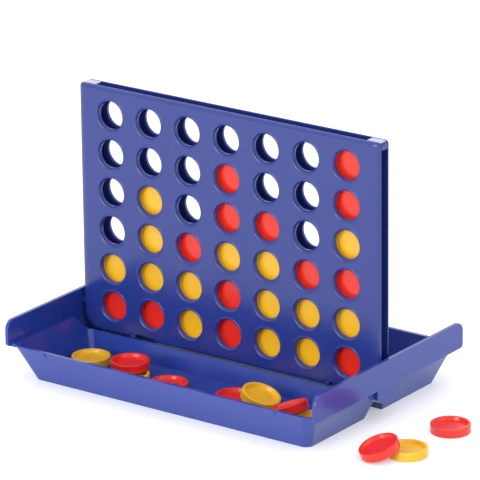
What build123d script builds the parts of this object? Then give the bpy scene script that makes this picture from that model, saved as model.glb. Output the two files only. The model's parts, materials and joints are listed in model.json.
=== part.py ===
from build123d import *
from math import cos, hypot, radians, sin, tan
import os

# A travel four-in-a-row game in millimetres, standing as it is played.
# +Z is up, the board is seen from -Y, and the set rests on z = 0.
# The base is one moulding with a front and a back tray. The board stands in a
# cradle between them and folds back on two pins in the end flanges.

# Discs
DISC_R = 9.85
DISC_T = 4.4
STACK_GAP = 0.3
REST_GAP = 0.25
LEAN = 20.0

# Board
ROWS = 6
COLUMNS = 7
SIDE_GAP = 0.55
FACE_GAP = 0.4
RIB_W = 2.8
PANEL_T = 2.2
SIDE_WALL = 2.2
END_CHANNEL = 6.6
FOOT_MARGIN = 4.45
TOP_MARGIN = 4.45
CAP_T = 4.1
RIB_TOP_DROP = 3.0
HOLE_R = 7.2
MOUTH_R = 8.3
FOOT_CORNER_R = 8.0
TOP_CORNER_R = 2.0

# Release bar, which runs in grooves near the board's foot
BAR_T = 2.0
BAR_GAP = 0.3
BAR_RAIL = 1.0
CROSSBAR_W = 2.8
LUG_W = 3.0
LUG_COLUMN = 2.5

# Base
WALL = 1.8
FLOOR_T = 1.8
LEDGE_T = 1.7
RIM_Z = 19.1
FLANGE_ABOVE_RIM = 11.9
END_GAP = 1.6
OVERHANG = 0.9
END_TAPER = 7.7
LONG_TAPER = 9.0
FLANGE_STEP = 2.7
RIDGE_FOOT = 8.0
RIDGE_LEAN = 0.34
RIDGE_LIP = 0.1
CORNER_R_BOTTOM = 4.0
CORNER_R_TOP = 6.0
FLANGE_R_TOP = 5.0
FLANGE_R_BOTTOM = 2.0
NUB_R = 1.3
NUB_TAPER = 20
NUB_PROUD = 0.7
NUB_FROM_END = 24.0
NUB_BELOW_RIM = 1.5

# Fold: pins in the flanges run in the channels at the board's ends
FOLD_GAP = 0.3
SWING_GAP = 0.3
PIN_ABOVE_FOOT = 13.0
PIN_GAP = 0.1
PIN_END_GAP = 0.5
JOURNAL_R = 2.0
JOURNAL_L = 1.1
JOURNAL_GAP = 0.05
LOBE_WALL = 1.7
LOBE_FRONT = 11.0
LOBE_FILLET = 2.5

# Catches for the stored board, inside both flanges and on both halves
CATCH_REACH = 1.3
BOSS_FROM_END = 14.7
BOSS_W = 3.2
CATCH_RIB_Y = 23.0
CATCH_RIB_W = 1.2
CATCH_ARM = 5.0

# Sizes that follow from the ones above
ROW_PITCH = 2 * DISC_R + STACK_GAP
COLUMN_W = 2 * (DISC_R + SIDE_GAP)
COLUMN_PITCH = COLUMN_W + RIB_W
SLOT_T = DISC_T + 2 * FACE_GAP
BOARD_T = SLOT_T + 2 * PANEL_T
FIELD_HX = COLUMNS * COLUMN_PITCH / 2 - RIB_W / 2
BOARD_HX = FIELD_HX + SIDE_WALL + END_CHANNEL
BOARD_H = FOOT_MARGIN + (ROWS - 1) * ROW_PITCH + 2 * DISC_R + TOP_MARGIN
PIVOT_Z = RIM_Z + FOLD_GAP + BOARD_T / 2
FOOT_Z = PIVOT_Z - PIN_ABOVE_FOOT
TOP_Z = FOOT_Z + BOARD_H
ROW_Z = FOOT_Z + FOOT_MARGIN + DISC_R
BAR_TOP_Z = ROW_Z - DISC_R - BAR_GAP
BAR_Z = BAR_TOP_Z - BAR_T
BAR_TRAVEL = COLUMN_PITCH / 2
SWING_R = hypot(BOARD_T / 2, PIN_ABOVE_FOOT) + SWING_GAP
RIDGE_Z = FOOT_Z + RIDGE_LIP
GROOVE_TOP_Z = PIVOT_Z - SWING_R - WALL
LOBE_R = SWING_R + LOBE_WALL
BACK_STOP_Y = BOARD_T / 2 + SWING_GAP
LOBE_BACK = BACK_STOP_Y + LOBE_WALL
FLANGE_X = BOARD_HX + END_GAP
BASE_HX = FLANGE_X + WALL
BASE_HY = BOARD_H / 2 - OVERHANG
LEDGE_Z = RIM_Z - LEDGE_T
FLANGE_TOP_Z = RIM_Z + FLANGE_ABOVE_RIM


def column_x(column):
    """Middle of a column, counted from 0 at the left."""
    return (column - (COLUMNS - 1) / 2) * COLUMN_PITCH


def row_z(row):
    """Middle of a row, counted from 0 at the foot."""
    return ROW_Z + row * ROW_PITCH


def block(x0, x1, y0, y1, z0, z1):
    """Box between two corners."""
    place = Pos((x0 + x1) / 2, (y0 + y1) / 2, (z0 + z1) / 2)
    return place * Box(abs(x1 - x0), abs(y1 - y0), abs(z1 - z0))


def rounded_rect(half_x, y0, y1, z, radius):
    """Rounded rectangle in a level plane, centred on x = 0."""
    outline = Plane.XY.offset(z) * Pos(0, (y0 + y1) / 2)
    return outline * RectangleRounded(2 * half_x, abs(y1 - y0), radius)


# Base moulding

def tub_half_x(z):
    """Outer half length of the tapered lower body at height z."""
    return BASE_HX - FLANGE_STEP - END_TAPER * (1 - z / RIM_Z)


def tub_half_y(z):
    """Outer half depth of the tapered lower body at height z."""
    return BASE_HY - LONG_TAPER * (1 - z / RIM_Z)


def ridge_half_y(z):
    """Half width of the hollow under the ridge at height z."""
    return RIDGE_FOOT - RIDGE_LEAN * z


def tub():
    """Tapered lower body as a solid."""
    foot = rounded_rect(tub_half_x(0), -tub_half_y(0), tub_half_y(0), 0, CORNER_R_BOTTOM)
    rim = rounded_rect(
        tub_half_x(RIM_Z), -tub_half_y(RIM_Z), tub_half_y(RIM_Z), RIM_Z, CORNER_R_TOP
    )
    return loft([foot, rim], ruled=True)


def tray_hollow(side):
    """Hollow of the front (-1) or back (+1) tray, open at the rim."""
    sections = []
    for z, radius in ((FLOOR_T, CORNER_R_BOTTOM - WALL), (RIM_Z + WALL, CORNER_R_TOP - WALL)):
        near = ridge_half_y(z) + WALL
        far = tub_half_y(z) - WALL
        y0, y1 = sorted((side * near, side * far))
        sections.append(rounded_rect(tub_half_x(z) - WALL, y0, y1, z, radius))
    return loft(sections, ruled=True)


def ridge_headroom():
    """Space above the ridge, where the two trays meet."""
    half_y = RIDGE_FOOT + 2 * WALL
    low = rounded_rect(tub_half_x(RIDGE_Z) - WALL, -half_y, half_y, RIDGE_Z, 1)
    high_z = RIM_Z + WALL
    high = rounded_rect(tub_half_x(high_z) - WALL, -half_y, half_y, high_z, 1)
    return loft([low, high], ruled=True)


def ridge_groove():
    """Open groove under the ridge, right through both ends."""
    foot = ridge_half_y(0)
    top = ridge_half_y(GROOVE_TOP_Z)
    profile = Plane.YZ * make_face(
        Polyline((-foot, -1), (foot, -1), (top, GROOVE_TOP_Z), (-top, GROOVE_TOP_Z), close=True)
    )
    return extrude(profile, BASE_HX + 1, both=True)


def swing_space(radius, back):
    """Round space that the board's foot swings through, cut off behind the board."""
    drum = Pos(0, 0, PIVOT_Z) * Rot(0, 90, 0) * Cylinder(radius, 2 * FLANGE_X)
    behind = block(-BASE_HX, BASE_HX, back, back + 2 * radius, 0, PIVOT_Z + 2 * radius)
    return drum - behind


def near(shape, y, z):
    """Corners of a face in the YZ plane that lie within a millimetre of a place."""
    return [v for v in shape.vertices() if hypot(v.X - y, v.Y - z) < 1]


def flange_plate(side):
    """End flange, standing above the long walls, with its lobe round the pivot."""
    mid_z = (LEDGE_Z + FLANGE_TOP_Z) / 2
    band = Pos(0, mid_z) * Rectangle(2 * BASE_HY, FLANGE_TOP_Z - LEDGE_Z)
    band = fillet(band.vertices().group_by(Axis.Y)[-1], FLANGE_R_TOP)
    band = fillet(band.vertices().group_by(Axis.Y)[0], FLANGE_R_BOTTOM)
    window = Pos((LOBE_BACK - LOBE_FRONT) / 2, LEDGE_Z - LOBE_R / 2)
    window *= Rectangle(LOBE_FRONT + LOBE_BACK, LOBE_R + 2 * LEDGE_T)
    face = band + (window & Pos(0, PIVOT_Z) * Circle(LOBE_R))
    face = fillet(near(face, LOBE_BACK, LEDGE_Z), LOBE_FILLET)
    lobe_corner_z = PIVOT_Z - (LOBE_R ** 2 - LOBE_BACK ** 2) ** 0.5
    face = fillet(near(face, LOBE_BACK, lobe_corner_z), LOBE_FILLET)
    plate = extrude(Plane.YZ * face, WALL)
    return Pos(FLANGE_X if side > 0 else -BASE_HX, 0, 0) * plate


def lobe_shell(side):
    """Round wall behind the lobe, which houses the swinging foot of the board."""
    inner_x = tub_half_x(0)
    drum = Pos(0, 0, PIVOT_Z) * Rot(0, 90, 0) * Cylinder(LOBE_R, 2 * FLANGE_X)
    keep = block(side * inner_x, side * FLANGE_X, -LOBE_R, LOBE_BACK, GROOVE_TOP_Z, LEDGE_Z)
    return drum & keep


def catches(side):
    """Boss and angled rib on the flange's inner face that steady the stored board."""
    x0 = side * (FLANGE_X - CATCH_REACH)
    x1 = side * (FLANGE_X + WALL / 2)
    low = PIVOT_Z - SLOT_T / 2 + REST_GAP
    high = PIVOT_Z + SLOT_T / 2 - REST_GAP
    pieces = []
    for end in (-1, 1):
        boss = end * (BASE_HY - BOSS_FROM_END)
        rib = end * CATCH_RIB_Y
        arm = end * (CATCH_RIB_Y - CATCH_ARM)
        half = CATCH_RIB_W / 2
        pieces.append(block(x0, x1, boss - BOSS_W / 2, boss + BOSS_W / 2, low, high))
        pieces.append(block(x0, x1, rib - half, rib + half, LEDGE_Z, high))
        pieces.append(block(x0, x1, rib, arm, high - CATCH_RIB_W, high))
    return pieces


def nubs():
    """Small eight-sided nubs just under the rim, on the outside of both long walls."""
    x = BASE_HX - NUB_FROM_END
    z = RIM_Z - NUB_BELOW_RIM
    y = tub_half_y(z) + NUB_PROUD
    knob = extrude(RegularPolygon(NUB_R, 8), NUB_R, taper=NUB_TAPER)
    nub = Pos(0, NUB_R, 0) * Rot(90, 0, 0) * knob
    right = [Pos(x, -y, z) * nub, Pos(x, y, z) * Rot(0, 0, 180) * nub]
    return right + [mirror(piece, Plane.YZ) for piece in right]


def base():
    """One-piece base: two tapered trays, the ridge and cradle, and both end flanges."""
    body = tub()
    for nub in nubs():
        body += nub
    for side in (-1, 1):
        body += lobe_shell(side)
        body += block(side * (tub_half_x(RIM_Z) - WALL - 4), side * BASE_HX,
                      -BASE_HY + FLANGE_R_BOTTOM, BASE_HY - FLANGE_R_BOTTOM, LEDGE_Z, RIM_Z)
        body += flange_plate(side)
    for side in (-1, 1):
        body -= tray_hollow(side)
    body -= ridge_headroom()
    body -= ridge_groove()
    body -= swing_space(SWING_R, BACK_STOP_Y)
    for side in (-1, 1):
        for piece in catches(side):
            body += piece
        bore_x = side * (FLANGE_X + (JOURNAL_L + JOURNAL_GAP) / 2)
        bore = Rot(0, 90, 0) * Cylinder(JOURNAL_R + JOURNAL_GAP, JOURNAL_L + JOURNAL_GAP)
        body -= Pos(bore_x, 0, PIVOT_Z) * bore
    return body


def pivot_pin(side):
    """Pin that turns in the flange and runs in the board's end channel."""
    shank_in = FIELD_HX + SIDE_WALL + PIN_END_GAP
    shank_out = FLANGE_X - JOURNAL_GAP
    shank = Rot(0, 90, 0) * Cylinder(SLOT_T / 2 - PIN_GAP, shank_out - shank_in)
    journal = Rot(0, 90, 0) * Cylinder(JOURNAL_R, JOURNAL_L + JOURNAL_GAP)
    pin = Pos(side * (shank_in + shank_out) / 2, 0, PIVOT_Z) * shank
    pin += Pos(side * (shank_out + (JOURNAL_L + JOURNAL_GAP) / 2), 0, PIVOT_Z) * journal
    return pin


# Board

def hole_places():
    """Places of the holes as seen on the board's face."""
    return [(column_x(c), row_z(r)) for c in range(COLUMNS) for r in range(ROWS)]


def panel_blank(side):
    """Panel with small top corners, large foot corners and a flared hole for each place."""
    y0, y1 = sorted((side * SLOT_T / 2, side * BOARD_T / 2))
    sheet = Pos(0, (FOOT_Z + TOP_Z) / 2) * Rectangle(2 * BOARD_HX, BOARD_H)
    sheet = fillet(sheet.vertices().group_by(Axis.Y)[-1], TOP_CORNER_R)
    sheet = fillet(sheet.vertices().group_by(Axis.Y)[0], FOOT_CORNER_R)
    panel = extrude(Plane.XZ.offset(-y1) * sheet, PANEL_T)
    hole = Rot(90 * side, 0, 0) * Cone(MOUTH_R, HOLE_R, PANEL_T)
    return panel - [Pos(x, (y0 + y1) / 2, z) * hole for x, z in hole_places()]


def grid_panel(side):
    """Front (-1) or back (+1) panel, grooved inside for the release bar."""
    panel = panel_blank(side)
    groove_y = (side * (SLOT_T / 2 - BAR_GAP), side * (SLOT_T / 2 + BAR_RAIL + BAR_GAP))
    left = -bar_half() - BAR_GAP
    right = bar_half() + BAR_TRAVEL + BAR_GAP
    panel -= block(left, right, *groove_y, BAR_Z - BAR_GAP, BAR_TOP_Z + BAR_GAP)
    if side < 0:
        for x in lug_places():
            panel -= block(x - LUG_W / 2 - BAR_GAP, x + LUG_W / 2 + BAR_TRAVEL + BAR_GAP,
                           -BOARD_T, 0, FOOT_Z - 1, BAR_Z + BAR_GAP)
    return panel


def column_ribs():
    """Dividers between the columns."""
    ribs = []
    for c in range(COLUMNS - 1):
        x = (column_x(c) + column_x(c + 1)) / 2
        ribs.append(block(x - RIB_W / 2, x + RIB_W / 2, -SLOT_T / 2, SLOT_T / 2,
                          BAR_TOP_Z + BAR_GAP, TOP_Z - RIB_TOP_DROP))
    return Compound(ribs)


def end_post(side):
    """Side wall of the last column with the cap that closes the end channel on top."""
    wall = block(side * FIELD_HX, side * (FIELD_HX + SIDE_WALL), -SLOT_T / 2, SLOT_T / 2,
                 FOOT_Z, TOP_Z)
    cap = block(side * FIELD_HX, side * BOARD_HX, -SLOT_T / 2, SLOT_T / 2, TOP_Z - CAP_T, TOP_Z)
    post = wall + cap
    post -= block(0, side * 2 * BOARD_HX, -BOARD_T, BOARD_T, BAR_Z - BAR_GAP, BAR_TOP_Z + BAR_GAP)
    corner = [e for e in post.edges().filter_by(Axis.Y)
              if abs(e.center().X) > BOARD_HX - 0.01 and e.center().Z > TOP_Z - 0.01]
    return fillet(corner, TOP_CORNER_R)


def bar_half():
    """Half length of the release bar."""
    return column_x(COLUMNS - 1) + CROSSBAR_W / 2


def lug_places():
    """Places of the two thumb lugs, each under a rib."""
    return [-LUG_COLUMN * COLUMN_PITCH, LUG_COLUMN * COLUMN_PITCH]


def release_bar():
    """Ladder-shaped bar whose crossbars hold the columns up until it is pushed aside."""
    half_y = SLOT_T / 2 + BAR_RAIL
    bar = block(-bar_half(), bar_half(), -half_y, half_y, BAR_Z, BAR_TOP_Z)
    window = COLUMN_PITCH - CROSSBAR_W
    for c in range(COLUMNS - 1):
        x = (column_x(c) + column_x(c + 1)) / 2
        bar -= block(x - window / 2, x + window / 2, -SLOT_T / 2, SLOT_T / 2, BAR_Z - 1, BAR_TOP_Z + 1)
    for x in lug_places():
        bar += block(x - LUG_W / 2, x + LUG_W / 2, -BOARD_T / 2, -SLOT_T / 2 + 0.4, FOOT_Z, BAR_Z)
    return bar


# Discs

def disc():
    """Disc lying flat about its middle."""
    return Cylinder(DISC_R, DISC_T)


def flat(x, y, underside_z):
    """Place of a disc that lies flat."""
    return Pos(x, y, underside_z + DISC_T / 2)


def lean_height(underside_z):
    """Height of a leaning disc's middle above the surface under its low edge."""
    tilt = radians(LEAN)
    return underside_z + DISC_R * sin(tilt) + DISC_T / 2 * cos(tilt)


def lean_reach():
    """Distance from a leaning disc's middle to that of the disc that it leans on."""
    tilt = radians(LEAN)
    under_high_edge = DISC_T + REST_GAP - lean_height(0)
    return DISC_R + (under_high_edge + DISC_T / 2 / cos(tilt)) / tan(tilt)


def leaning(x, y, underside_z, heading):
    """Place of a disc with one edge on the surface and the other on a disc at x, y."""
    turn = radians(heading)
    reach = lean_reach()
    place = Pos(x - reach * cos(turn), y - reach * sin(turn), lean_height(underside_z))
    return place * Rot(0, 0, heading) * Rot(0, -LEAN, 0)


# Colours from the foot of each column upwards, r for red and y for yellow
COLUMN_FILL = ["ry", "ryyy", "yyr", "rryrr", "yyyr", "yyr", "ryryrr"]

# Loose discs, by the gaps between them and to the trays' walls
FRONT_ROW_GAPS = [2.7, 11.2, 3.6]
BACK_ROW_GAPS = [20.1, 3.3, 3.3, 2.3]
RIGHT_GAP = 2.1
LEAN_SPREAD = 0.1
TABLE_GAP = 23.1
TABLE_SPREAD = 17.1
TRAY_FLOOR = FLOOR_T + REST_GAP
SECOND_LAYER = TRAY_FLOOR + DISC_T + REST_GAP
TRAY_HX = tub_half_x(FLOOR_T) - WALL
TRAY_NEAR = ridge_half_y(FLOOR_T) + WALL


def row_x(gaps):
    """Middles of a row of discs, from the tray's left wall to the right."""
    places = []
    edge = -TRAY_HX
    for gap in gaps:
        places.append(edge + gap + DISC_R)
        edge = places[-1] + DISC_R
    return places


def tray_y(side, gap):
    """Middle of a disc that lies this far from the ridge, in the front (-1) or back (+1) tray."""
    return side * (TRAY_NEAR + gap + DISC_R)


F1, F2, F3 = row_x(FRONT_ROW_GAPS)
B1, B2, B3, B4 = row_x(BACK_ROW_GAPS)
F5 = TRAY_HX - RIGHT_GAP - DISC_R
F4 = F5 - 2 * (lean_reach() + DISC_R) - LEAN_SPREAD
TABLE_X = BASE_HX + TABLE_GAP + DISC_R
TABLE_Y = 2.4
TABLE_FRONT_Y = TABLE_Y - 2 * DISC_R - TABLE_SPREAD

# The whole set is centred over the origin, so the base stands left of it
BASE_X = (BASE_HX - TABLE_X - DISC_R) / 2

LOOSE_DISCS = {
    "yellow_disc_front_tray_1": flat(F1, tray_y(-1, 6.7), TRAY_FLOOR),
    "red_disc_front_tray_1": flat(F2 - 3.5, tray_y(-1, 10.5), SECOND_LAYER),
    "yellow_disc_front_tray_2": flat(F2, tray_y(-1, 15.5), TRAY_FLOOR),
    "red_disc_front_tray_2": flat(F3, tray_y(-1, 15), TRAY_FLOOR),
    "red_disc_front_tray_3": flat(F4, tray_y(-1, 10.2), TRAY_FLOOR),
    "yellow_disc_front_tray_3": leaning(F4, tray_y(-1, 10.2), TRAY_FLOOR, 187),
    "red_disc_front_tray_4": leaning(F5, tray_y(-1, 14), TRAY_FLOOR, -4),
    "yellow_disc_front_tray_4": flat(F5, tray_y(-1, 14), TRAY_FLOOR),
    "red_disc_back_tray_1": flat(B1, tray_y(1, 14), TRAY_FLOOR),
    "yellow_disc_back_tray_1": flat(B2, tray_y(1, 18), TRAY_FLOOR),
    "red_disc_back_tray_2": flat(B3, tray_y(1, 11), TRAY_FLOOR),
    "yellow_disc_back_tray_2": flat(B4, tray_y(1, 17), TRAY_FLOOR),
    "red_disc_table_1": leaning(TABLE_X, TABLE_FRONT_Y, 0, 53),
    "yellow_disc_table_1": flat(TABLE_X, TABLE_FRONT_Y, 0),
    "red_disc_table_2": flat(TABLE_X, TABLE_Y, 0),
}


def write(shape, node):
    """One STEP file per node, moved to the set's own place."""
    export_step(Pos(BASE_X, 0, 0) * shape, f"parts/{node}.step")


def main():
    os.makedirs("parts", exist_ok=True)
    write(base(), "game_base")
    write(column_ribs(), "column_ribs")
    write(release_bar(), "release_bar")
    for side, end, face in ((-1, "left", "front"), (1, "right", "back")):
        write(pivot_pin(side), f"pivot_pin_{end}")
        write(end_post(side), f"end_post_{end}")
        write(grid_panel(side), f"{face}_grid_panel")
    blank = disc()
    names = {"r": "red", "y": "yellow"}
    for c, fill in enumerate(COLUMN_FILL):
        for r, colour in enumerate(fill):
            place = Pos(column_x(c), 0, row_z(r)) * Rot(90, 0, 0)
            write(place * blank, f"{names[colour]}_disc_column_{c + 1}_row_{r + 1}")
    for node, place in LOOSE_DISCS.items():
        write(place * blank, node)


main()
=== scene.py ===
# %% [markdown]
# # A travel four-in-a-row game
#
# The real thing is a little case moulded in glossy blue plastic. A board of seven columns and six
# rows stands in a cradle between two shallow trays, and red and yellow discs drop into it from the
# top. This lesson puts a finished surface on a fixed frame of CAD pieces. The frame knows every
# size and place, so it is loaded first and never changed.

# %% Load the frame
import json
import math

import bmesh
import bpy
from mathutils import Matrix, Vector

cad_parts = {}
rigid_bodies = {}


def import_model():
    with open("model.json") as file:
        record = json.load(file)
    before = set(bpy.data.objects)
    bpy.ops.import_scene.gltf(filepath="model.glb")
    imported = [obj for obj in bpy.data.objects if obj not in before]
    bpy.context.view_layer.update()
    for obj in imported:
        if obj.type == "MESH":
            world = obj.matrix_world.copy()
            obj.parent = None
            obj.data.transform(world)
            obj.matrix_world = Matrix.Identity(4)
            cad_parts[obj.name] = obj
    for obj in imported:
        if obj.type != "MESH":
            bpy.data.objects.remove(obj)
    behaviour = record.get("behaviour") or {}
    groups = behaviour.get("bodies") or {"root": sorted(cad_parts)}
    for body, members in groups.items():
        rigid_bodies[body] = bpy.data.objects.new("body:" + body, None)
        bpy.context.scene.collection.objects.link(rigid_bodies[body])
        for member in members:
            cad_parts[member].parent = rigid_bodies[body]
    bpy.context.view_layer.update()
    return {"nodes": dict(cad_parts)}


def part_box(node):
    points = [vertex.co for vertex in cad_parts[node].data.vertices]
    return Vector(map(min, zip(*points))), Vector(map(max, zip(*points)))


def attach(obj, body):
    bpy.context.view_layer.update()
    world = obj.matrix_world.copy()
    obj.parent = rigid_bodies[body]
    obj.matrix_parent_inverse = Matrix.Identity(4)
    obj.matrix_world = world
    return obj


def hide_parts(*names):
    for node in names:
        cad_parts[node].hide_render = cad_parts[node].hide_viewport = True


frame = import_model()

# %% [markdown]
# ## Sizes
#
# Everything here is in metres, so one millimetre gets a name. The board's own box gives the middle
# of the board, and the holes follow from the two pitches of the grid.

# %% Sizes of the board
MM = 0.001
COLUMNS = 7
ROWS = 6
COLUMN_PITCH = 23.6 * MM
ROW_PITCH = 20.0 * MM
FIRST_ROW_Z = 25.5 * MM

panel_low, panel_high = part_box("front_grid_panel")
PANEL_T = panel_high.y - panel_low.y
BOARD_X = (panel_low.x + panel_high.x) / 2
FIELD_Z = FIRST_ROW_Z + (ROWS - 1) * ROW_PITCH / 2
print("panel thickness", round(PANEL_T / MM, 2), "mm")
print("board's middle at x =", round(BOARD_X / MM, 2), "mm")

# %% [markdown]
# ## Sums on sockets
#
# A node tree is easier to read as a sum than as a tangle of links. A term wraps one socket, and
# Python's own signs add the Math nodes, also when a plain number stands first, as in 1 - mask. The
# same class serves the trees that build shapes and the trees that paint them.


# %% A socket that can be used in sums
class Term:
    """One output socket, on which +, - and * add Math nodes."""

    def __init__(self, graph, socket):
        self.graph = graph
        self.socket = socket

    def sum(self, operation, *values):
        return self.graph.node("ShaderNodeMath", {"operation": operation},
                               dict(enumerate(values)))[0]

    def __add__(self, other):
        return self.sum("ADD", self, other)

    def __sub__(self, other):
        return self.sum("SUBTRACT", self, other)

    def __rsub__(self, other):
        return self.sum("SUBTRACT", other, self)

    def __mul__(self, other):
        return self.sum("MULTIPLY", self, other)

    def __neg__(self):
        return self.sum("MULTIPLY", self, -1.0)

    __radd__ = __add__
    __rmul__ = __mul__

    def at_least(self, other):
        return self.sum("MAXIMUM", self, other)

    def ramp(self, start, end):
        """0 below start, 1 above end and a soft step between them."""
        return self.graph.node("ShaderNodeMapRange", {"interpolation_type": "SMOOTHSTEP"},
                               {0: self, 1: start, 2: end, 3: 0.0, 4: 1.0})[0]


print("a term has", sum(callable(value) for value in vars(Term).values()), "methods")


# %% A tree that is filled by one method
class Graph:
    """A node tree. Its one method takes a node's type, settings and inputs."""

    def __init__(self, tree):
        self.tree = tree

    def node(self, kind, settings=None, inputs=None):
        new = self.tree.nodes.new(kind)
        for name, value in (settings or {}).items():
            if name == "items":
                # An Index Switch starts with two items.
                for _ in range(value - 2):
                    new.index_switch_items.new()
            else:
                setattr(new, name, value)
        for key, value in (inputs or {}).items():
            if isinstance(value, Term):
                self.tree.links.new(value.socket, new.inputs[key])
            else:
                new.inputs[key].default_value = value
        return [Term(self, socket) for socket in new.outputs]


trial = Graph(bpy.data.node_groups.new("trial", "ShaderNodeTree"))
mask = trial.node("ShaderNodeValue")[0]
trial_sum = 1.0 - mask * 2.0
print("1 - mask * 2 ends in a", trial_sum.socket.node.operation, "node")
bpy.data.node_groups.remove(trial.tree)

# %% [markdown]
# ## Moulded plastic
#
# Every piece is injection moulded. Such plastic is evenly coloured, with a clear gloss, a faint
# ripple from the mould and the hair scratches of use. The colour varies only a little where the
# melt flowed, so a wide noise shifts it by a few hundredths. Scratches are a noise stretched in one
# direction, and they only dull the gloss. A fine bump keeps the highlights from being perfect. The
# maps follow each piece's own coordinates, so they stay on it when it moves.
#
# The tops of the end posts, at the board's top corners, look pale. That is a painted highlight:
# above one height the posts' colour turns pale, in place of the bright reflection of light from
# above on their top faces.


# %% A material whose maps are sums
PLASTIC_IOR = 1.58


class Paint(Graph):
    """A Principled material whose maps are sums on Object coordinates."""

    def __init__(self, name, roughness):
        self.material = bpy.data.materials.new(name)
        self.material.use_nodes = True
        super().__init__(self.material.node_tree)
        self.tree.nodes.clear()
        self.place = self.node("ShaderNodeTexCoord")[3]
        self.shader = self.tree.nodes.new("ShaderNodeBsdfPrincipled")
        self.shader.inputs["Roughness"].default_value = roughness
        self.shader.inputs["IOR"].default_value = PLASTIC_IOR
        out = self.tree.nodes.new("ShaderNodeOutputMaterial")
        self.tree.links.new(self.shader.outputs[0], out.inputs["Surface"])

    def feed(self, socket, value):
        self.tree.links.new(value.socket, self.shader.inputs[socket])

    def noise(self, scale, detail, stretch=None):
        place = self.place
        if stretch:
            place = self.node("ShaderNodeMapping", {}, {"Vector": place, "Scale": stretch})[0]
        return self.node("ShaderNodeTexNoise", {},
                         {"Vector": place, "Scale": scale, "Detail": detail})[0]

    def marks(self, scale, detail, start, end, weight, stretch=None):
        """Marks that rise where a noise goes from start to end, times their weight."""
        return self.noise(scale, detail, stretch).ramp(start, end) * weight

    def mix(self, factor, first, second):
        return self.node("ShaderNodeMix", {"data_type": "RGBA"},
                         {0: factor, 6: first, 7: second})[2]

    def bump(self, height, strength, distance):
        return self.node("ShaderNodeBump", {},
                         {"Strength": strength, "Distance": distance, "Height": height})[0]


print("plastic bends light by", PLASTIC_IOR)

# %% One recipe for all plastics
# Each kind of mark: its scale in waves per metre, its detail, where in the noise it starts and
# ends, and how strongly it counts.
FLOW = (45.0, 3.0, 0.3, 0.7, 0.25)
SPECKLE = (900.0, 2.0, 0.55, 0.8, 0.2)
SCRATCHES = (1400.0, 3.0, 0.6, 0.75, 0.05)
SCRATCH_STRETCH = (1.0, 1.0, 0.06)
SMEARS = (60.0, 3.0, 0.4, 0.7, 0.06)
RIPPLE_SCALE, RIPPLE_DETAIL, RIPPLE_WEIGHT = 160.0, 2.0, 0.7
GRAIN_SCALE, GRAIN_DETAIL, GRAIN_WEIGHT = 2600.0, 1.0, 0.06
BUMP_STRENGTH, BUMP_DEPTH = 0.25, 0.2 * MM
# How softly the painted highlight on the post tops fades in.
PAINTED_HIGHLIGHT_SOFTNESS = 0.1 * MM


def plastic(name, colour, worn, roughness, top=None):
    """Glossy moulded plastic with flow marks, scratches, a faint ripple, and maybe a painted
    highlight on its top.
    """
    paint = Paint(name, roughness)
    tint = paint.mix(paint.marks(*FLOW) + paint.marks(*SPECKLE), (*colour, 1.0), (*worn, 1.0))
    # A painted highlight: above one height the colour turns pale, in place of the reflection of
    # light from above on the top faces.
    if top:
        level, highlight_colour = top
        up = paint.node("ShaderNodeSeparateXYZ", {}, {0: paint.place})[2]
        turn = up.ramp(level - PAINTED_HIGHLIGHT_SOFTNESS, level + PAINTED_HIGHLIGHT_SOFTNESS)
        tint = paint.mix(turn, tint, (*highlight_colour, 1.0))
    paint.feed("Base Color", tint)
    worn_dull = paint.marks(*SCRATCHES, SCRATCH_STRETCH) + paint.marks(*SMEARS)
    paint.feed("Roughness", worn_dull + roughness)
    ripple = paint.noise(RIPPLE_SCALE, RIPPLE_DETAIL) * RIPPLE_WEIGHT
    grain = paint.noise(GRAIN_SCALE, GRAIN_DETAIL) * GRAIN_WEIGHT
    paint.feed("Normal", paint.bump(ripple + grain, BUMP_STRENGTH, BUMP_DEPTH))
    return paint.material


print("flow marks are", round(1000 / FLOW[0]), "mm long")


# %% Mix the plastics
# From this height up the posts are painted pale: a painted highlight, not a part of another colour.
PAINTED_HIGHLIGHT_FROM_Z = 139.4 * MM
PAINTED_HIGHLIGHT_COLOUR = (0.500, 0.475, 0.700)
BOARD_COLOUR, BOARD_WORN = (0.0165, 0.035, 0.230), (0.025, 0.047, 0.265)
base_blue = plastic("base_blue", (0.018, 0.050, 0.340), (0.028, 0.064, 0.380), 0.17)
board_blue = plastic("board_blue", BOARD_COLOUR, BOARD_WORN, 0.20)
cap_blue = plastic("cap_blue", BOARD_COLOUR, BOARD_WORN, 0.20, (PAINTED_HIGHLIGHT_FROM_Z, PAINTED_HIGHLIGHT_COLOUR))
bar_blue = plastic("bar_blue", (0.019, 0.037, 0.245), (0.028, 0.050, 0.280), 0.20)
red = plastic("red_disc", (0.840, 0.021, 0.007), (0.880, 0.042, 0.022), 0.22)
yellow = plastic("yellow_disc", (0.930, 0.510, 0.010), (0.960, 0.570, 0.028), 0.22)
print("plastics:", [m.name for m in (base_blue, board_blue, cap_blue, bar_blue, red, yellow)])

# %% [markdown]
# ## From a modifier to a plain mesh
#
# Geometry Nodes and other modifiers are recipes. The finished piece is a plain mesh, because it
# has to stand by itself in the exported model. The evaluated object is copied to a new mesh, and
# the recipe is dropped.
#
# Smooth shading hides the facets of a curve, but it mustn't run over a real edge or bend the large
# flat faces. So it stops at sharp bends, and where a large face meets the small faces of a rounded
# edge.


# %% Helpers for pieces
SAME_POINT = 0.0005 * MM
FLAT_FACE = (1.5 * MM) ** 2
FLAT_BEND, SHARP_BEND = 1.0, 32.0


def link(name, mesh):
    """A new object at the origin that shows this mesh."""
    piece = bpy.data.objects.new(name, mesh)
    bpy.context.scene.collection.objects.link(piece)
    return piece


def baked(piece, name):
    """The evaluated piece as a plain mesh, after which the recipe is dropped."""
    bpy.context.view_layer.update()
    seen = piece.evaluated_get(bpy.context.evaluated_depsgraph_get())
    mesh = bpy.data.meshes.new_from_object(seen)
    mesh.name = name
    bpy.data.objects.remove(piece)
    return mesh


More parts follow.
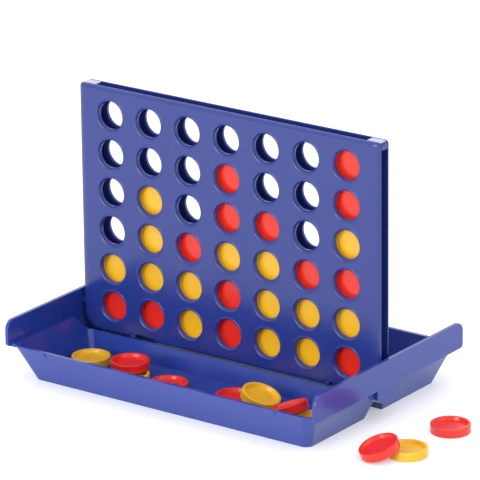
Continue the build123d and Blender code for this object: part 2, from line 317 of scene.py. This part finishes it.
def crisp(mesh):
    """Smooth shading that stops at sharp bends and round the large flat faces."""
    work = bmesh.new()
    work.from_mesh(mesh)
    bmesh.ops.remove_doubles(work, verts=work.verts, dist=SAME_POINT)
    bmesh.ops.recalc_face_normals(work, faces=work.faces)
    big = {face.index: face.calc_area() > FLAT_FACE for face in work.faces}
    open_edges = 0
    for face in work.faces:
        face.smooth = True
    for edge in work.edges:
        if len(edge.link_faces) != 2:
            open_edges += 1
            continue
        first, second = edge.link_faces
        bend = math.degrees(edge.calc_face_angle(0.0))
        alike = big[first.index] == big[second.index]
        edge.smooth = bend < SHARP_BEND and (bend < FLAT_BEND or alike)
    work.to_mesh(mesh)
    work.free()
    return open_edges


def show(mesh, name, body, material, slot, *nodes):
    """Puts a finished mesh in the scene, riding on its body in place of its CAD nodes."""
    piece = link(name, mesh)
    mesh.materials.clear()
    mesh.materials.append(material)
    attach(piece, body)
    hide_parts(*nodes)


print("points nearer than", SAME_POINT / MM, "mm are joined")

# %% [markdown]
# ## A tree of Geometry Nodes
#
# Each tree gets named inputs for its sizes. The modifier's inputs are set by the identifiers of
# those sockets, because two sockets may carry one name.


# %% A recipe with named sizes
TURNING_RING = 0.1 * MM
SEAM = 0.002 * MM


class Recipe(Graph):
    """A Geometry Nodes tree with named sizes as its inputs."""

    def __init__(self, name, sizes):
        super().__init__(bpy.data.node_groups.new(name, "GeometryNodeTree"))
        face = self.tree.interface
        face.new_socket("Shape", in_out="INPUT", socket_type="NodeSocketGeometry")
        self.ids = {}
        for label, kind in sizes.items():
            socket = face.new_socket(label, in_out="INPUT", socket_type="NodeSocket" + kind)
            self.ids[label] = socket.identifier
        face.new_socket("Shape", in_out="OUTPUT", socket_type="NodeSocketGeometry")
        source = self.tree.nodes.new("NodeGroupInput")
        self.given = Term(self, source.outputs[0])
        self.size = {label: Term(self, source.outputs[label]) for label in sizes}
        self.sink = self.tree.nodes.new("NodeGroupOutput")

    def finish(self, shape, material):
        """Real geometry with its material, as the last two nodes."""
        real = self.node("GeometryNodeRealizeInstances", {}, {0: shape})[0]
        done = self.node("GeometryNodeSetMaterial", {}, {0: real, 2: material})[0]
        self.tree.links.new(done.socket, self.sink.inputs[0])

    def make(self, name, values, start=None):
        """The plain mesh that this recipe makes from these sizes."""
        piece = link(name, start or bpy.data.meshes.new(name))
        modifier = piece.modifiers.new("recipe", "NODES")
        modifier.node_group = self.tree
        for label, value in values.items():
            modifier[self.ids[label]] = value
        return baked(piece, name)

    def corner(self, out, up):
        """A point of a profile, out and up along the axis. A sweep round a ring turns it over."""
        down = -up if isinstance(up, Term) else -1.0 * up
        return self.node("ShaderNodeCombineXYZ", {}, {0: out, 1: down})[0]

    def pick(self, kind, values):
        """The value that belongs to each point, by its number."""
        index = self.node("GeometryNodeInputIndex")[0]
        inputs = {0: index}
        inputs.update({i + 1: value for i, value in enumerate(values)})
        return self.node("GeometryNodeIndexSwitch", {"data_type": kind, "items": len(values)},
                         inputs)[0]

    def turned(self, corners, radii, steps, sides):
        """A solid turned on the Z axis from a profile with rounded corners."""
        points = self.node("GeometryNodePoints", {}, {0: len(corners)})[0]
        placed = self.node("GeometryNodeSetPosition", {},
                           {0: points, 2: self.pick("VECTOR", corners)})[0]
        line = self.node("GeometryNodePointsToCurves", {}, {0: placed})[0]
        soft = self.node("GeometryNodeFilletCurve", {"mode": "POLY"},
                         {0: line, 1: steps, 2: self.pick("FLOAT", radii), 3: True})[0]
        ring = self.node("GeometryNodeCurvePrimitiveCircle", {"mode": "RADIUS"},
                         {"Resolution": sides, "Radius": TURNING_RING})[0]
        # The ring stands a little out from the axis, so the profile is moved in by as much.
        inward = self.node("ShaderNodeCombineXYZ", {}, {0: -TURNING_RING})[0]
        profile = self.node("GeometryNodeSetPosition", {}, {0: soft, 3: inward})[0]
        wall = self.node("GeometryNodeCurveToMesh", {}, {0: ring, "Profile Curve": profile})[0]
        return self.node("GeometryNodeMergeByDistance", {}, {0: wall, "Distance": SEAM})[0]


print("profiles are swept round a ring of", TURNING_RING / MM, "mm")

# %% [markdown]
# ## Discs
#
# A disc is a shallow cup on both sides: a narrow rim, a wall with some draft, a small fillet and a
# smooth floor, with one web between the two floors. It is a turned shape, so a profile is drawn
# from its sizes and swept round the axis. One mesh is made, and each disc is a copy at its own
# place. The place and the tilt come from the CAD disc: its middle, and the direction of its largest
# flat face.

# %% The recipe of a disc
DISC_SIZES = {"Radius": "Float", "Half": "Float", "Rim": "Float", "Draft": "Float", "Web": "Float"}
DISC_SIDES, DISC_STEPS = 72, 4
FLOOR_FILLET, RIM_FILLET, EDGE_FILLET = 0.25 * MM, 0.3 * MM, 0.4 * MM
disc_recipe = Recipe("rimmed disc", DISC_SIZES)
size = disc_recipe.size
rim_in = size["Radius"] - size["Rim"]
floor_out = rim_in - size["Draft"]
outline = [(0.0, size["Web"]), (floor_out, size["Web"]), (rim_in, size["Half"]),
           (size["Radius"], size["Half"]), (size["Radius"], -size["Half"]),
           (rim_in, -size["Half"]), (floor_out, -size["Web"]), (0.0, -size["Web"])]
soft_corners = [0.0, FLOOR_FILLET, RIM_FILLET, EDGE_FILLET,
                EDGE_FILLET, RIM_FILLET, FLOOR_FILLET, 0.0]
cup = disc_recipe.turned([disc_recipe.corner(x, y) for x, y in outline], soft_corners,
                         DISC_STEPS, DISC_SIDES)
disc_recipe.finish(cup, red)
print("disc recipe:", len(disc_recipe.tree.nodes), "nodes")

# %% Turn one disc
# The sizes come from a disc that lies flat. It is made the least bit smaller, so that rounding
# never takes it past the CAD's box.
disc_low, disc_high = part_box("yellow_disc_table_1")
WITHIN = 0.001 * MM
disc_sizes = {"Radius": (disc_high.x - disc_low.x) / 2 - WITHIN,
              "Half": (disc_high.z - disc_low.z) / 2 - WITHIN,
              "Rim": 1.45 * MM, "Draft": 0.6 * MM, "Web": 0.5 * MM}
disc_mesh = disc_recipe.make("disc", disc_sizes)
disc_open = crisp(disc_mesh)
disc_top = max(vertex.co.z for vertex in disc_mesh.vertices)
print("disc:", len(disc_mesh.polygons), "faces, open edges", disc_open)
print("disc thickness", round(2 * disc_top / MM, 2), "mm")


# %% Set the discs in their places
def facing(node):
    """Direction of the largest flat face of a CAD disc."""
    areas = {}
    for face in frame["nodes"][node].data.polygons:
        key = tuple(round(abs(v), 3) for v in face.normal)
        areas.setdefault(key, [0.0, face.normal.copy()])[0] += face.area
    return max(areas.values(), key=lambda entry: entry[0])[1]


disc_nodes = sorted(node for node in frame["nodes"] if "_disc_" in node)
for node in disc_nodes:
    corner_low, corner_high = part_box(node)
    turn = Vector((0.0, 0.0, 1.0)).rotation_difference(facing(node)).to_matrix().to_4x4()
    mesh = disc_mesh.copy()
    mesh.transform(Matrix.Translation((corner_low + corner_high) / 2) @ turn)
    colour, slot = (red, "red_disc") if node.startswith("red") else (yellow, "yellow_disc")
    show(mesh, "rimmed_" + node, node, colour, slot, node)
print("discs set:", len(disc_nodes))

# %% [markdown]
# ## The two panels
#
# Each panel is a thin moulded plate. Round every hole a fine bead stands up, which is the thin
# light ring in the photo, and inside it a shallow dish slopes in by a millimetre to a hole with a
# straight wall. The dish and hole are one turned cutter, copied to every point of the grid and cut
# out of the plate in one go, so a new pitch or a new number of rows changes the whole board. The
# bead is the top of a thick ring that is sunk in the plate: a highlight is as wide as the curve
# under it is large, so a thin wire of a ring wouldn't show.

# %% A cutter on every point of the grid
PANEL_SIZES = {"Columns": "Int", "Rows": "Int", "Column pitch": "Float", "Row pitch": "Float",
               "Hole": "Float", "Mouth": "Float", "Dish depth": "Float", "Thickness": "Float",
               "Bead ring": "Float", "Bead": "Float", "Proud": "Float",
               "Middle": "Vector", "Turn": "Float", "Groove": "Object", "Notches": "Object"}
panel_recipe = Recipe("perforated panel", PANEL_SIZES)
size = panel_recipe.size
HOLE_SIDES, HOLE_STEPS = 72, 3
# How far a cutter starts before the plate and ends past it.
LEAD = 1.0 * MM
# The cutter widens above the mouth, from a lip just below the face to a point just over it.
LIP, SKIM = 0.2 * MM, 0.03 * MM
DISH_FILLET, HOLE_FILLET = 0.12 * MM, 0.08 * MM
mouth, hole = size["Mouth"], size["Hole"]
cut = [(0.0, LEAD), (mouth + LEAD, LEAD), (mouth + LIP, SKIM), (mouth, -LIP),
       (hole, -size["Dish depth"]), (hole, -size["Thickness"] - LEAD),
       (0.0, -size["Thickness"] - LEAD)]
cut_radii = [0.0, 0.0, 0.0, DISH_FILLET, HOLE_FILLET, 0.0, 0.0]
cutter = panel_recipe.turned([panel_recipe.corner(x, y) for x, y in cut], cut_radii,
                             HOLE_STEPS, HOLE_SIDES)
print("cutter:", len(cut), "corners,", HOLE_SIDES, "sides")

# %% A bead, and the grid of points
BEAD_SIDES = 16
bead_line = panel_recipe.node("GeometryNodeCurvePrimitiveCircle", {"mode": "RADIUS"},
                              {"Resolution": HOLE_SIDES, "Radius": size["Bead ring"]})[0]
bead_section = panel_recipe.node("GeometryNodeCurvePrimitiveCircle", {"mode": "RADIUS"},
                                 {"Resolution": BEAD_SIDES, "Radius": size["Bead"]})[0]
bead = panel_recipe.node("GeometryNodeCurveToMesh", {},
                         {0: bead_line, "Profile Curve": bead_section})[0]
sunk = panel_recipe.node("ShaderNodeCombineXYZ", {}, {2: size["Proud"] - size["Bead"]})[0]
bead = panel_recipe.node("GeometryNodeTransform", {}, {0: bead, "Translation": sunk})[0]
columns, rows = size["Columns"], size["Rows"]
grid = panel_recipe.node("GeometryNodeMeshGrid", {}, {
    "Size X": size["Column pitch"] * (columns - 1.0), "Size Y": size["Row pitch"] * (rows - 1.0),
    "Vertices X": columns, "Vertices Y": rows})[0]
upright = panel_recipe.node("ShaderNodeCombineXYZ", {}, {0: math.pi / 2, 2: size["Turn"]})[0]
as_turn = panel_recipe.node("FunctionNodeEulerToRotation", {}, {0: upright})[0]
print("grid:", COLUMNS, "by", ROWS)


# %% Cut the holes and add the beads
def on_grid(shape):
    """Copies of a shape on every point of the grid, stood up in the board's place."""
    spots = panel_recipe.node("GeometryNodeInstanceOnPoints", {}, {0: grid, 2: shape})[0]
    stood = panel_recipe.node("GeometryNodeTransform", {}, {
        0: spots, "Translation": size["Middle"], "Rotation": as_turn})[0]
    return panel_recipe.node("GeometryNodeRealizeInstances", {}, {0: stood})[0]


# The cuts come first. A bead that is there before them would lose its inner side.
pierced = panel_recipe.given
for cut_away in (on_grid(cutter),
                 panel_recipe.node("GeometryNodeObjectInfo", {}, {0: size["Groove"]})[-1],
                 panel_recipe.node("GeometryNodeObjectInfo", {}, {0: size["Notches"]})[-1]):
    pierced = panel_recipe.node("GeometryNodeMeshBoolean",
                                {"operation": "DIFFERENCE", "solver": "EXACT"},
                                {0: pierced, 1: cut_away})[0]
beaded = panel_recipe.node("GeometryNodeMeshBoolean", {"operation": "UNION", "solver": "EXACT"})[0]
for piece in (on_grid(bead), pierced):
    panel_recipe.tree.links.new(piece.socket, beaded.socket.node.inputs[1])
panel_recipe.finish(beaded, board_blue)
print("panel recipe:", len(panel_recipe.tree.nodes), "nodes")


# %% Outlines, and a mesh through a stack of them
def rounded_outline(half_x, low_z, high_z, low_r, high_r, steps=10):
    """Corner points of a rounded rectangle about x = 0, seen from the front."""
    points = []
    corners = [(half_x, high_z, high_r, 0), (-half_x, high_z, high_r, 90),
               (-half_x, low_z, low_r, 180), (half_x, low_z, low_r, 270)]
    for x, z, radius, start in corners:
        cx = x - math.copysign(radius, x)
        cz = z - radius if z == high_z else z + radius
        for step in range(steps + 1):
            angle = math.radians(start + 90 * step / steps)
            points.append((cx + radius * math.cos(angle), cz + radius * math.sin(angle)))
    return points


def loft(loops, name):
    """Closed mesh through a stack of loops, with a face on the first and the last."""
    work = bmesh.new()
    rings = [[work.verts.new(co) for co in loop] for loop in loops]
    count = len(rings[0])
    for lower, upper in zip(rings, rings[1:]):
        for i in range(count):
            j = (i + 1) % count
            work.faces.new((lower[i], lower[j], upper[j], upper[i]))
    work.faces.new(list(reversed(rings[0])))
    work.faces.new(rings[-1])
    bmesh.ops.recalc_face_normals(work, faces=work.faces)
    mesh = bpy.data.meshes.new(name)
    work.to_mesh(mesh)
    work.free()
    return mesh


print("rounded outlines have", len(rounded_outline(1.0, -1.0, 1.0, 0.1, 0.1)), "points")


# %% A plate with soft edges
# The outer edge is a quarter round, drawn out towards the ends, where the photo shows a wide band.
OUTER_EDGE = 1.8 * MM
END_SWEEP = 2.4
INNER_EDGE, INNER_STEPS = 0.3 * MM, 2
FOOT_CORNER = 8.0 * MM
TOP_CORNER = 2.0 * MM


def quarter(radius, steps=4):
    """Inset and depth along a rounded edge, from the face to the side."""
    angles = [math.pi / 2 * step / steps for step in range(steps + 1)]
    return [(radius * (1 - math.sin(a)), radius * (1 - math.cos(a))) for a in angles]


def plate(side, node, name):
    """A panel before its holes: outer edge well rounded, inner edge nearly sharp."""
    low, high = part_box(node)
    half_x = (high.x - low.x) / 2
    outer_y = low.y if side < 0 else high.y
    inner = [(inset, PANEL_T - depth)
             for inset, depth in reversed(quarter(INNER_EDGE, INNER_STEPS))]
    profile = quarter(OUTER_EDGE) + inner
    loops = []
    for inset, depth in profile:
        line = rounded_outline(half_x - END_SWEEP * inset, low.z + inset, high.z - inset,
                               FOOT_CORNER - inset, TOP_CORNER - inset)
        loops.append([(BOARD_X + x, outer_y - side * depth, z) for x, z in line])
    return loft(loops, name)


print("rounded edge:", [(round(a / MM, 2), round(b / MM, 2)) for a, b in quarter(OUTER_EDGE)])


# %% Boxes that cut the bar's way
def box_mesh(boxes, name):
    """One mesh of separate boxes, each given by two corners."""
    work = bmesh.new()
    for low, high in boxes:
        middle = (Vector(low) + Vector(high)) / 2
        spread = Vector(high) - Vector(low)
        place = Matrix.Translation(middle) @ Matrix.Diagonal((*spread, 1.0))
        bmesh.ops.create_cube(work, size=1.0, matrix=place)
    mesh = bpy.data.meshes.new(name)
    work.to_mesh(mesh)
    work.free()
    return mesh


# The release bar's rails run in a groove inside both panels, and its lugs in notches of the front
# one. Both leave the bar its gap and its travel of half a column. The groove opens into the slot
# between the panels.
BAR_GAP = 0.3 * MM
BAR_TRAVEL = COLUMN_PITCH / 2
RAIL_SIDE_Y, IN_SLOT_Y = 3.6 * MM, 2.3 * MM
BAR_FOOT_Z, BAR_TOP_Z = 13.35 * MM, 15.35 * MM
LUG_X = 2.5 * COLUMN_PITCH
LUG_HALF = 1.5 * MM
bar_low, bar_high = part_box("release_bar")


def bar_way(side, low, high):
    """The groove and the notches of a panel, as objects that cut."""
    near, far = sorted((side * (RAIL_SIDE_Y + BAR_GAP), side * IN_SLOT_Y))
    groove = [((bar_low.x - BAR_GAP, near, BAR_FOOT_Z - BAR_GAP),
               (bar_high.x + BAR_TRAVEL + BAR_GAP, far, BAR_TOP_Z + BAR_GAP))]
    notches = [((x - LUG_HALF - BAR_GAP, low.y - LEAD, low.z - LEAD),
                (x + LUG_HALF + BAR_TRAVEL + BAR_GAP, high.y + LEAD, BAR_FOOT_Z + BAR_GAP))
               for x in (BOARD_X - LUG_X, BOARD_X + LUG_X) if side < 0]
    return [link("groove", box_mesh(groove, "groove")),
            link("notches", box_mesh(notches, "notches"))]


print("bar's travel", round(BAR_TRAVEL / MM, 2), "mm")

# %% Pierce both panels
HOLE_R, MOUTH_R, DISH_DEPTH = 7.2 * MM, 8.15 * MM, 1.0 * MM
BEAD_RING_R, BEAD_R, BEAD_PROUD = 8.4 * MM, 0.9 * MM, 0.13 * MM
for side, face in ((-1, "front"), (1, "back")):
    node = face + "_grid_panel"
    low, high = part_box(node)
    tools = bar_way(side, low, high)
    outer_y = low.y if side < 0 else high.y
    mesh = panel_recipe.make(face + "_panel", {
        "Columns": COLUMNS, "Rows": ROWS, "Column pitch": COLUMN_PITCH, "Row pitch": ROW_PITCH,
        "Hole": HOLE_R, "Mouth": MOUTH_R, "Dish depth": DISH_DEPTH, "Thickness": PANEL_T,
        "Bead ring": BEAD_RING_R, "Bead": BEAD_R, "Proud": BEAD_PROUD,
        "Middle": (BOARD_X, outer_y, FIELD_Z), "Turn": 0.0 if side < 0 else math.pi,
        "Groove": tools[0], "Notches": tools[1]}, plate(side, node, face + "_plate"))
    for tool in tools:
        bpy.data.objects.remove(tool)
    loose = crisp(mesh)
    show(mesh, face + "_panel", "board", board_blue, "board_blue", node)
    print(face, "panel:", len(mesh.polygons), "faces, open edges", loose)

# %% [markdown]
# ## Softened edges on the rest
#
# The other pieces keep the CAD shape. Moulded plastic never has a knife edge, because the mould is
# cut with a small radius, and that radius is what catches the light. A copy of the CAD mesh is
# merged, its flat triangles become whole faces again, and a Bevel modifier rounds every sharp edge.


# %% Round the sharp edges of a CAD piece
FLAT_ANGLE = 0.5
SHARP_ANGLE = 35.0
EDGE_STEPS = 2


def softened(nodes, name, width):
    """Copies CAD pieces into one mesh with small rounded edges."""
    work = bmesh.new()
    for node in nodes:
        work.from_mesh(frame["nodes"][node].data)
    bmesh.ops.remove_doubles(work, verts=work.verts, dist=SAME_POINT)
    bmesh.ops.dissolve_limit(work, angle_limit=math.radians(FLAT_ANGLE), verts=work.verts,
                             edges=work.edges)
    mesh = bpy.data.meshes.new(name)
    work.to_mesh(mesh)
    work.free()
    piece = link(name, mesh)
    bevel = piece.modifiers.new("soft edges", "BEVEL")
    bevel.width = width
    bevel.segments = EDGE_STEPS
    bevel.limit_method = "ANGLE"
    bevel.angle_limit = math.radians(SHARP_ANGLE)
    bevel.use_clamp_overlap = True
    mesh = baked(piece, name)
    loose = crisp(mesh)
    print(name, len(mesh.polygons), "faces, open edges", loose)
    return mesh


print("flat faces meet at less than", FLAT_ANGLE, "degrees")

# %% Dress the other pieces
SMALL_EDGE, BASE_EDGE, POST_EDGE = 0.15 * MM, 0.3 * MM, 0.35 * MM
show(softened(["column_ribs"], "ribs", SMALL_EDGE), "column_dividers", "board", board_blue,
     "board_blue", "column_ribs")
for end in ("left", "right"):
    # The posts carry the painted highlight on their tops.
    show(softened(["end_post_" + end], "post", POST_EDGE), "post_" + end, "board", cap_blue,
         "board_blue", "end_post_" + end)
    show(softened(["pivot_pin_" + end], "pin", SMALL_EDGE), "pin_" + end, "pivot_pins", base_blue,
         "pin_blue", "pivot_pin_" + end)
show(softened(["release_bar"], "bar", SMALL_EDGE), "ladder_bar", "release_bar", bar_blue,
     "bar_blue", "release_bar")
show(softened(["game_base"], "base", BASE_EDGE), "moulded_base", "base", base_blue,
     "base_blue", "game_base")

# %% [markdown]
# ## Table, light and camera
#
# The set stands on a plain white table in a white room, as in a product photograph. A broad key
# light in front, a little to the left, draws the ring round each hole, and two weaker ones light
# the right end and the top edges. The table adds a little glow of its own, but only to the camera
# and to reflections, so it looks white without lighting the set, and the shadow stays on it.
# A long lens from far away keeps the upright lines upright.

# %% White table
FLOOR_GLOW = 0.36
FLOOR_GREY = (0.80, 0.80, 0.80, 1.0)
BLACK, WHITE = (0.0, 0.0, 0.0, 1.0), (1.0, 1.0, 1.0, 1.0)
TABLE_HALF, TABLE_T, TABLE_GAP = 4.0, 0.02, 0.05 * MM
floor_paint = Paint("white table", 0.6)
floor_paint.shader.inputs["Base Color"].default_value = FLOOR_GREY
floor_paint.shader.inputs["Specular IOR Level"].default_value = 0.0
floor_paint.shader.inputs["Emission Strength"].default_value = FLOOR_GLOW
ray = floor_paint.node("ShaderNodeLightPath")
is_camera, is_glossy = ray[0], ray[3]
floor_paint.feed("Emission Color", floor_paint.mix(is_camera.at_least(is_glossy), BLACK, WHITE))
table = link("table", box_mesh([((-TABLE_HALF, -TABLE_HALF, -TABLE_T),
                                 (TABLE_HALF, TABLE_HALF, -TABLE_GAP))], "table"))
table.data.materials.append(floor_paint.material)
print("table glows by", FLOOR_GLOW)

# %% Sky and lamps
sky = bpy.data.worlds.new("white room")
bpy.context.scene.world = sky
sky.use_nodes = True
room = Graph(sky.node_tree)
room.tree.nodes.clear()
height = room.node("ShaderNodeSeparateXYZ", {}, {0: room.node("ShaderNodeTexCoord")[0]})[2]
WALLS, CEILING = 0.82, 1.20
WALL_TOP, CEILING_FROM = 0.3, 0.9
level = WALLS - height.ramp(WALL_TOP, CEILING_FROM) * (WALLS - CEILING)
light = room.node("ShaderNodeBackground", {}, {"Color": WHITE, "Strength": level})[0]
room.node("ShaderNodeOutputWorld", {}, {0: light})


def lamp(name, place, aim, size, power):
    """A square white softbox that looks at a point."""
    light = bpy.data.lights.new(name, "AREA")
    light.shape = "SQUARE"
    light.size = size
    light.energy = power
    piece = bpy.data.objects.new(name, light)
    piece.location = place
    piece.rotation_euler = (Vector(aim) - Vector(place)).to_track_quat("-Z", "Y").to_euler()
    bpy.context.scene.collection.objects.link(piece)


# Name, place, the point it looks at, its side in metres and its power in watts.
LAMPS = [("key", (-0.15, -1.45, 0.38), (0.0, 0.0, 0.06), 0.7, 9.8),
         ("side", (2.20, 0.20, 1.00), (0.0, 0.0, 0.04), 2.4, 9.0),
         ("rim", (-0.95, 1.30, 0.50), (0.0, 0.0, 0.05), 1.2, 2.0)]
for values in LAMPS:
    lamp(*values)
print("a white room and", len(LAMPS), "softboxes")

# %% Camera
# The focal length, the place and the turn were fitted to the photo.
FOCAL_PIXELS = 4406.06
FRAME_PIXELS = 480
SENSOR_MM = 36.0
CAMERA_AT = (1182.65 * MM, -1644.85 * MM, 776.21 * MM)
CAMERA_TURN = (70.9685, 0.5929, 35.8979)
camera_data = bpy.data.cameras.new("camera")
camera_data.sensor_width = SENSOR_MM
camera_data.lens = FOCAL_PIXELS * SENSOR_MM / FRAME_PIXELS
camera = bpy.data.objects.new("camera", camera_data)
camera.location = CAMERA_AT
camera.rotation_euler = [math.radians(a) for a in CAMERA_TURN]
bpy.context.scene.collection.objects.link(camera)
bpy.context.scene.camera = camera
bpy.context.scene.view_settings.view_transform = "Standard"
print("lens", round(camera_data.lens, 1), "mm")
